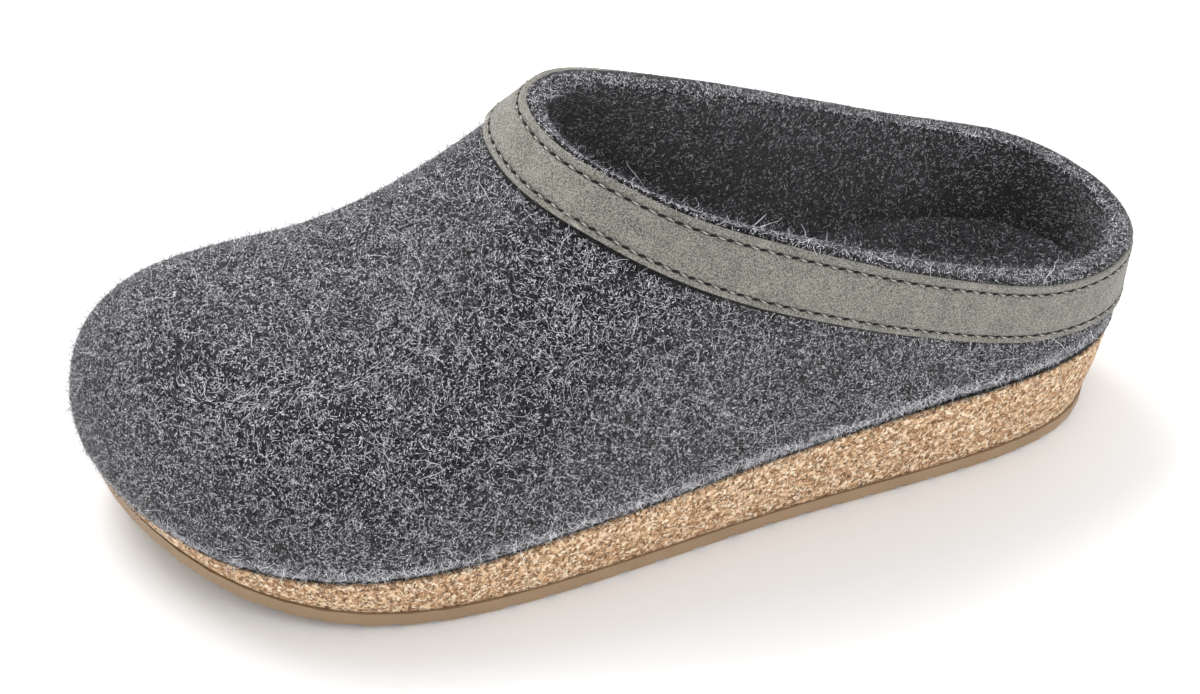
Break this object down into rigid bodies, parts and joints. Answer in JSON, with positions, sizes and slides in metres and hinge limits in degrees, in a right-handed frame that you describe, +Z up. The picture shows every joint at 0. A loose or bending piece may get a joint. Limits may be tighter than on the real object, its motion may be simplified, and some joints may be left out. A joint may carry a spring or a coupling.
{
  "type": "wool felt clog slipper",
  "caption": "Left backless felt clog: a one-piece moulded felt upper with a leather collar band, on a felt-covered cork footbed and a thin grooved tread",
  "frame": {"origin": "centre of the shoe's footprint box, on the floor", "axes": "+X from the heel to the toe, +Y to the wearer's left, which is the outer side of this left shoe, +Z up"},
  "size_m": [0.2846, 0.1138, 0.1093],
  "materials": {
    "grey_felt": "matt, hairy, charcoal and light grey wool felt",
    "grey_leather": "matt nubuck, grey with a hint of olive",
    "cork": "matt granulated cork",
    "light_grey_felt": "matt, short-napped light grey felt",
    "brown_rubber": "matt smooth brown rubber"
  },
  "bodies": {
    "root": {"upper": "grey_felt", "collar_band": "grey_leather", "cork_midsole": "cork", "insole": "light_grey_felt", "outsole": "brown_rubber"}
  },
  "joints": []
}
